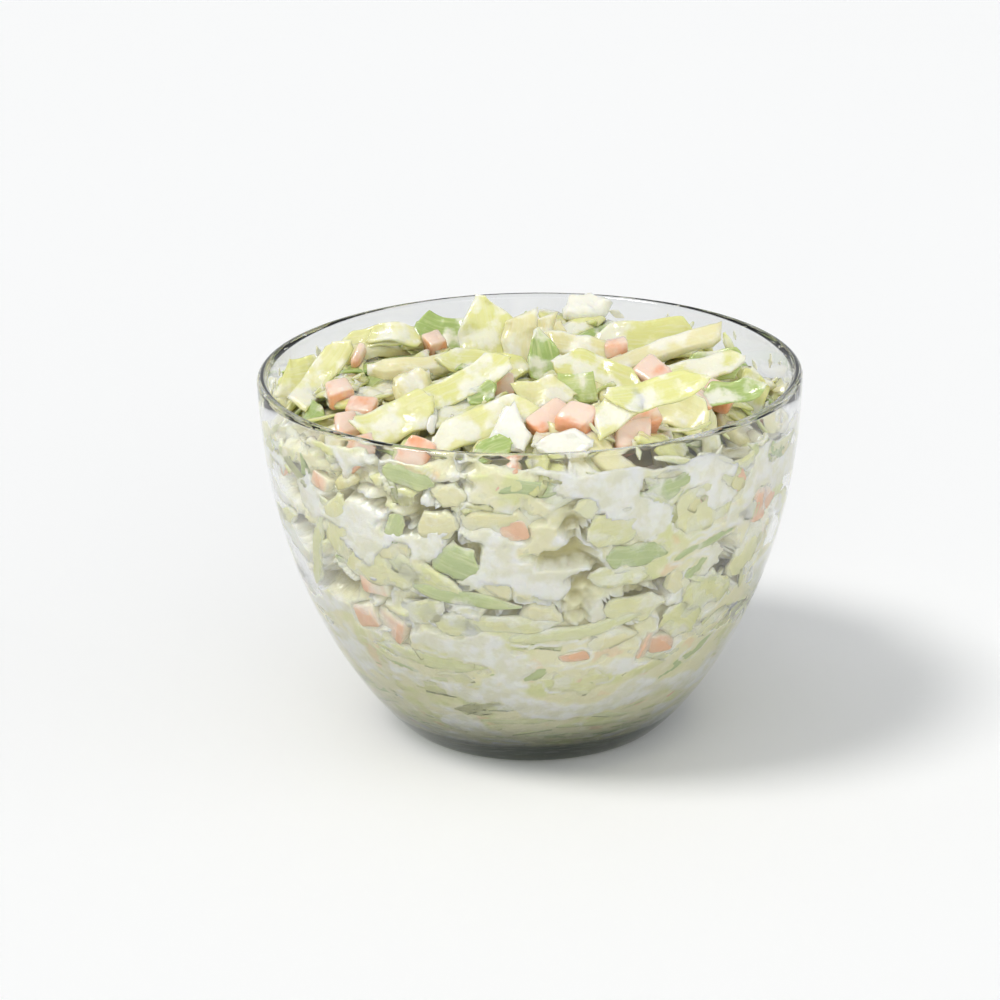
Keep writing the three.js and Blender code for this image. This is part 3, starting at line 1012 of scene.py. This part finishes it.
def dressed(shader, colour, coat_low, coat_high, fibre):
    """A wet food surface: its own colour under a patchy film of dressing, glossy and soft. The
    coat starts where the patches' noise is coat_low, and is thickest where it is coat_high."""
    patches = shader.math("ADD", shader.noise(6 * MM, 5.0), shader.upward(0.06))
    coat = shader.ramp(patches, coat_low, coat_high, 0, THICKEST_COAT)
    colour = shader.mix(coat, colour, DRESSING)
    colour = shader.mix(shader.value("film"), colour, THIN_DRESSING)
    lumps = shader.bump(shader.noise(2.2 * MM, 2.0), 0.4 * MM, 0.6)
    lumps = shader.bump(coat, 0.12 * MM, 0.7, lumps)
    normal = shader.bump(fibre, 0.2 * MM, 0.5, lumps)
    rough = shader.ramp(shader.noise(3 * MM, 2.0), 0.35, 0.7, SMOOTHEST, ROUGHEST)
    own = {"Base_Color": colour, "Normal": normal, "Roughness": rough}
    return shader.finish(shader.node("BsdfPrincipled", **own, **WET).outputs[0])


CABBAGES = {
    # palest and deepest colours, that of the fibres, and the two ends of the coat's noise
    "pale_cabbage": ((239, 233, 192), (224, 224, 140), (241, 238, 210), 0.49, 0.64),
    "green_cabbage": ((218, 223, 142), (150, 180, 80), (226, 231, 172), 0.52, 0.68),
    "cabbage_rib": ((239, 233, 196), (229, 221, 158), (241, 237, 212), 0.51, 0.68),
    "fine_shreds": ((241, 236, 202), (216, 222, 142), (243, 240, 216), 0.5, 0.66),
}


def cabbage_material(name):
    """Cabbage: each piece has its own tone between two colours, and fine pale fibres along it."""
    *colours, coat_low, coat_high = CABBAGES[name]
    palest, deepest, vein = (srgb(*colour) for colour in colours)
    shader = Shader(name)
    patch = shader.noise(7 * MM, 2.0)
    drift = shader.math("ADD", shader.value("tone"), shader.math("MULTIPLY_ADD", patch, 0.9))
    drift = shader.math("SUBTRACT", drift, 0.45)
    grain = shader.value("grain", "Vector")
    colour = shader.mix(drift, palest, deepest)
    fibre = shader.noise(1.0, 3.0, shader.scaled(grain, (140, 1500, 40)))
    colour = shader.mix(shader.ramp(fibre, 0.45, 0.75, 0, 0.45), colour, vein)
    return dressed(shader, colour, coat_low, coat_high, fibre)


def carrot_material(name):
    shader = Shader(name)
    grain = shader.noise(1.0, 3.0, shader.scaled(shader.value("grain", "Vector"), (500, 500, 60)))
    colour = shader.mix(grain, srgb(242, 134, 66), srgb(248, 164, 104))
    filmed = shader.math("MULTIPLY", shader.value("tone"), 0.55)
    colour = shader.mix(filmed, colour, srgb(247, 190, 160))
    # The pale film is stronger on faces that look up: partly dressing that gathers there, partly
    # painted light on the tops.
    film = shader.math("ADD", shader.noise(4 * MM, 2.0), shader.upward(0.22))
    colour = shader.mix(shader.ramp(film, 0.38, 0.72, 0.05, 0.85), colour, srgb(252, 226, 212))
    return dressed(shader, colour, 0.62, 0.8, grain)


def dressing_material(name):
    shader = Shader(name)
    cloud = shader.noise(4 * MM, 3.0)
    colour = shader.mix(cloud, srgb(247, 245, 232), srgb(252, 251, 244))
    return dressed(shader, colour, 0.4, 0.6, shader.noise(1.2 * MM, 2.0))


def core_material():
    """Mush: milky where it lies on the glass, yellower behind, and olive as painted shade in its
    hollows and under the loose pieces. The milk at the bowl's edges is a painted reflection.
    """
    shader = Shader("coleslaw_mush")
    cells = shader.noise(9 * MM, 3.0)
    cream = shader.mix(cells, srgb(234, 229, 176), srgb(244, 240, 210))
    # Painted shade: darker olive for the core's deep hollows and its top under the loose pieces.
    hollow_shade = shader.mix(cells, srgb(160, 150, 74), srgb(208, 198, 130))
    leafy = shader.ramp(shader.noise(8 * MM, 2.0), 0.48, 0.66, 0, 0.7)
    pressed = shader.mix(leafy, srgb(241, 236, 198), srgb(222, 226, 156))
    orange = shader.ramp(shader.noise(7.1 * MM, 2.0), 0.62, 0.7, 0, 0.35)
    pressed = shader.mix(orange, pressed, srgb(246, 196, 160))
    # The milky white is runny dressing, and at the bowl's left and right edges a painted reflection.
    cloudy = shader.ramp(shader.noise(4 * MM, 4.0), 0.4, 0.62)
    milk_and_edge_reflection = shader.mix(cloudy, srgb(248, 247, 240), srgb(236, 234, 212))
    colour = shader.mix(shader.value("hollow_shade"), cream, hollow_shade)
    colour = shader.mix(shader.value("contact"), colour, pressed)
    colour = shader.mix(shader.value("milk_and_edge_reflection"), colour, milk_and_edge_reflection)
    return dressed(shader, colour, 0.5, 0.8, shader.noise(1.5 * MM, 3.0))


FOOT_SHADE_END = (6.2 * MM, 7.2 * MM)  # heights between which the foot's painted dark shade ends


def glass_material():
    """Clear glass, which lets the lamps through, with a painted grey-green shade over its thick foot.
    """
    shader = Shader("bowl_glass")
    ripple = shader.bump(shader.noise(30 * MM, 1.0), 0.02 * MM, 0.2)
    up = shader.node("SeparateXYZ", Vector=shader.place()).outputs["Z"]
    above_foot = shader.ramp(up, *FOOT_SHADE_END)
    # Painted shade: the foot is coloured dark grey-green for the dark band that the thick base shows by
    # what it refracts and reflects.
    glass_colour_with_foot_shade = shader.mix(above_foot, srgb(64, 74, 60), srgb(243, 244, 245))
    see_through = {"Roughness": 0.0, "IOR": 1.5, "Transmission_Weight": 1.0}
    glass = shader.node("BsdfPrincipled", Normal=ripple, Base_Color=glass_colour_with_foot_shade, **see_through)
    clear = shader.node("BsdfTransparent", Color=srgb(252, 253, 252))
    shadow = shader.node("LightPath").outputs["Is Shadow Ray"]
    both = shader.node("MixShader", Fac=shadow)
    shader.set(both.inputs[1], glass.outputs[0])
    shader.set(both.inputs[2], clear.outputs[0])
    depth = shader.node("VolumeAbsorption", Color=srgb(154, 163, 148), Density=13.0)
    shader.set(shader.output.inputs["Volume"], depth.outputs[0])
    return shader.finish(both.outputs[0])


def floor_material():
    shader = Shader("pale_floor")
    mottle = shader.noise(0.4, 2.0)
    colour = shader.mix(mottle, srgb(251, 251, 251), srgb(253, 253, 253))
    matte = shader.node("BsdfPrincipled", Base_Color=colour, Roughness=0.8)
    return shader.finish(matte.outputs[0])


# ---- objects


def mesh_object(name, points, faces, material):
    mesh = bpy.data.meshes.new(name)
    mesh.from_pydata(np.asarray(points).tolist(), [], faces)
    mesh.shade_smooth()
    mesh.materials.append(material)
    made = bpy.data.objects.new(name, mesh)
    bpy.context.scene.collection.objects.link(made)
    return made


def set_values(made, values):
    """Gives the points of a mesh their named values, each a number or a vector."""
    for name, each in values.items():
        each = np.float32(each)
        form, key = ("FLOAT", "value") if each.ndim == 1 else ("FLOAT_VECTOR", "vector")
        made.data.attributes.new(name, form, "POINT").data.foreach_set(key, each.ravel())


def kind_object(name, kind, material):
    made = mesh_object(name, np.vstack(kind.points), np.vstack(kind.faces).tolist(), material)
    set_values(made, {key: np.concatenate(values) for key, values in kind.values.items()})
    belongs(made, "coleslaw")


def belongs(made, node):
    """A piece that stands for a CAD node: it hangs from the root body, and the node is hidden."""
    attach(made, "root")
    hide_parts(node)


SEED = 20
LOOSE_PIECES = [
    # piece, kind, material's name, material, slot
    ("pale_cabbage", "pale", "pale_cabbage", cabbage_material, "pale_cabbage"),
    ("green_cabbage", "green", "green_cabbage", cabbage_material, "green_cabbage"),
    ("cabbage_ribs", "rib", "cabbage_rib", cabbage_material, "pale_cabbage"),
    ("fine_shreds", "shred", "fine_shreds", cabbage_material, "pale_cabbage"),
    ("carrot_dice", "carrot", "carrot", carrot_material, "carrot"),
    ("dressing_lumps", "dressing", "dressing", dressing_material, "dressing"),
]


def line_the_glass(rng):
    """Lays the pieces against the glass, and gives back the relief of those that stand out."""
    lining = Lining(rng)
    for row in ON_THE_GLASS:
        lining.lay_marked(*row)
    standing_out = copy.deepcopy(lining.relief)
    standing_out.close_pits()
    lining.fill(LINING_PIECES)
    lining.smear(SMEARS)
    return standing_out


def fill_the_top(rng):
    top = Relief((-RIM, -RIM), (RIM, RIM), False)
    top.height = heap_height(*top.centres()) - TOP_LAYER
    heap_on_top(rng, top)
    for row in FEATURED:
        featured(top, *row)


def build_salad():
    rng = np.random.default_rng(SEED)
    standing_out = line_the_glass(rng)
    fill_the_top(rng)
    points, faces, values = core(standing_out)
    mush = mesh_object("coleslaw_core", points, faces, core_material())
    set_values(mush, values)
    belongs(mush, "coleslaw")
    for name, kind, look, material, slot in LOOSE_PIECES:
        kind_object(name, KINDS[kind], material(look))


def build_bowl():
    points, faces = lathe(bowl_outline(), BOWL_SEGMENTS)
    made = mesh_object("glass_bowl", points, faces, glass_material())
    belongs(made, "bowl")


# ---- stage, light and camera


def far_light(name, source, width, strength, colour=(1, 1, 1)):
    """A lamp far off in the direction source, as wide as an angle in degrees."""
    light = bpy.data.lights.new(name, "SUN")
    light.angle = math.radians(width)
    light.energy = strength
    light.color = colour
    lamp = bpy.data.objects.new(name, light)
    lamp.rotation_mode = "QUATERNION"
    lamp.rotation_quaternion = (-Vector(source)).to_track_quat("-Z", "Y")
    bpy.context.scene.collection.objects.link(lamp)


FLOOR_REACH = 4.0
SKY = (0.94, 0.97, 1.0, 1)
SKY_CHANGE = (0.2, 0.45)  # heights, as sines, between which the sky goes from low to high
LOW_SKY, HIGH_SKY = 0.85, 0.36  # its strength there


def build_floor():
    ends = (-FLOOR_REACH, FLOOR_REACH)
    corners = [(x, y, 0) for y in ends for x in ends]
    floor = mesh_object("floor", corners, [(0, 1, 3, 2)], floor_material())


def build_lights():
    far_light("key", (-0.5, -0.2, 0.85), 18, 1.5, (1.0, 0.985, 0.96))
    far_light("front_fill", (0.15, -1, 0.18), 60, 1.05)
    far_light("side_fill", (1, -0.35, 0.25), 60, 0.4)
    far_light("overhead", (0.1, 0.1, 1), 90, 0.3)


def build_sky():
    """A pale sky, brighter near the horizon."""
    world = bpy.data.worlds.new("studio")
    world.use_nodes = True
    nodes, links = world.node_tree.nodes, world.node_tree.links
    height = nodes.new("ShaderNodeSeparateXYZ")
    links.new(nodes.new("ShaderNodeTexCoord").outputs["Generated"], height.inputs[0])
    glow = nodes.new("ShaderNodeMapRange")
    glow.inputs["From Min"].default_value, glow.inputs["From Max"].default_value = SKY_CHANGE
    glow.inputs["To Min"].default_value = LOW_SKY
    glow.inputs["To Max"].default_value = HIGH_SKY
    links.new(height.outputs["Z"], glow.inputs["Value"])
    nodes["Background"].inputs["Color"].default_value = SKY
    links.new(glow.outputs["Result"], nodes["Background"].inputs["Strength"])
    bpy.context.scene.world = world
    bpy.context.scene.view_settings.view_transform = "Standard"


CAMERA_ELEVATION = math.radians(17.4)
CAMERA_DISTANCE = 12 * RIM  # from the rim's middle
CAMERA_ROLL = math.radians(0.81)
SENSOR = 36
LENS_RATIO = 4.535 * SENSOR  # focal length for each metre of distance
RIM_RIGHT, RIM_UP = 0.0313, 0.1326  # the rim's middle from the view's middle, in view widths


def build_camera():
    """Looks down on the bowl from the front, with the bowl a little to the right in the view."""
    camera = bpy.data.cameras.new("camera")
    camera.sensor_width = SENSOR
    camera.lens = LENS_RATIO * CAMERA_DISTANCE
    rig = bpy.data.objects.new("camera", camera)
    back = Vector((0, -math.cos(CAMERA_ELEVATION), math.sin(CAMERA_ELEVATION)))
    rig.location = Vector((0, 0, HEIGHT)) + back * CAMERA_DISTANCE
    look = (-back).to_track_quat("-Z", "Y").to_matrix()
    scale = camera.sensor_width / camera.lens
    aim = Euler((-math.atan(RIM_UP * scale), math.atan(RIM_RIGHT * scale), 0)).to_matrix()
    rolled = look @ aim @ Matrix.Rotation(-CAMERA_ROLL, 3, "Z")
    rig.rotation_mode = "QUATERNION"
    rig.rotation_quaternion = rolled.to_quaternion()
    bpy.context.scene.collection.objects.link(rig)
    bpy.context.scene.camera = rig


build_salad()
build_bowl()
build_floor()
build_lights()
build_sky()
build_camera()
